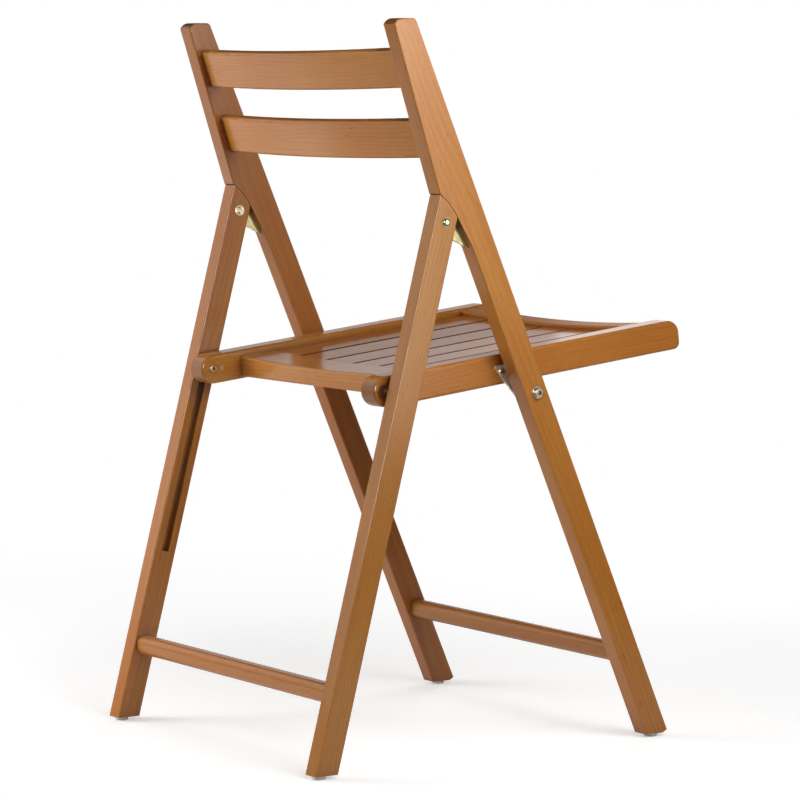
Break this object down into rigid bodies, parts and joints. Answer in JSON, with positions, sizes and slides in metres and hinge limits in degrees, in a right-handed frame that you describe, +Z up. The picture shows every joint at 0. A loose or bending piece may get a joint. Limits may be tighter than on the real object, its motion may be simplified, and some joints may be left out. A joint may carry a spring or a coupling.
{
  "type": "folding chair",
  "caption": "Folding wooden chair with a slatted, dished seat, bowed back slats and hinged rear legs.",
  "frame": {"origin": "on the floor, at the centre of the open chair's footprint", "axes": "+Z up; the chair faces -Y, its back is towards +Y and its right side is -X"},
  "size_m": [0.451, 0.5117, 0.805],
  "materials": {
    "lacquered_wood": "satin clear lacquer over honey-brown hardwood",
    "yellow_zinc_steel": "yellow zinc plated",
    "bright_steel": "bright zinc plated",
    "grey_plastic": "moulded, slightly worn"
  },
  "bodies": {
    "frame": {"front_stretcher": "lacquered_wood", "left_front_glide": "grey_plastic", "left_hinge_plate": "yellow_zinc_steel", "left_pivot_bolt": "bright_steel", "left_post": "lacquered_wood", "lower_back_slat": "lacquered_wood", "pivot_nuts": "bright_steel", "pivot_spacers": "bright_steel", "pivot_washers": "bright_steel", "right_front_glide": "grey_plastic", "right_hinge_plate": "yellow_zinc_steel", "right_pivot_bolt": "bright_steel", "right_post": "lacquered_wood", "upper_back_slat": "lacquered_wood"},
    "rear_frame": {"hinge_nuts": "bright_steel", "hinge_washers": "bright_steel", "left_hinge_bolt": "bright_steel", "left_rear_glide": "grey_plastic", "left_rear_leg": "lacquered_wood", "rear_stretcher": "lacquered_wood", "right_hinge_bolt": "bright_steel", "right_rear_glide": "grey_plastic", "right_rear_leg": "lacquered_wood"},
    "seat": {"guide_bolts": "bright_steel", "guide_nuts": "bright_steel", "guide_screws": "bright_steel", "left_guide_plate": "bright_steel", "left_pivot_plate": "bright_steel", "left_seat_rail": "lacquered_wood", "plate_screws": "bright_steel", "right_guide_plate": "bright_steel", "right_pivot_plate": "bright_steel", "right_seat_rail": "lacquered_wood", "seat_front_rail": "lacquered_wood", "seat_rear_rail": "lacquered_wood", "seat_slat_1": "lacquered_wood", "seat_slat_2": "lacquered_wood", "seat_slat_3": "lacquered_wood", "seat_slat_4": "lacquered_wood", "seat_slat_5": "lacquered_wood", "seat_slat_6": "lacquered_wood"}
  },
  "joints": [
    {"name": "rear_frame_hinge", "type": "hinge", "parent": "frame", "child": "rear_frame", "pos_m": [0, 0.08945, 0.588], "axis": [-1, 0, 0], "range_deg": [0, 38.18]},
    {"name": "seat_hinge", "type": "hinge", "parent": "frame", "child": "seat", "pos_m": [0, -0.03335, 0.39954], "axis": [-1, 0, 0], "range_deg": [0, 104.35]}
  ],
  "couplings": [
    {"joint": "seat_hinge", "follows": "rear_frame_hinge", "ratio": 2.7318}
  ]
}
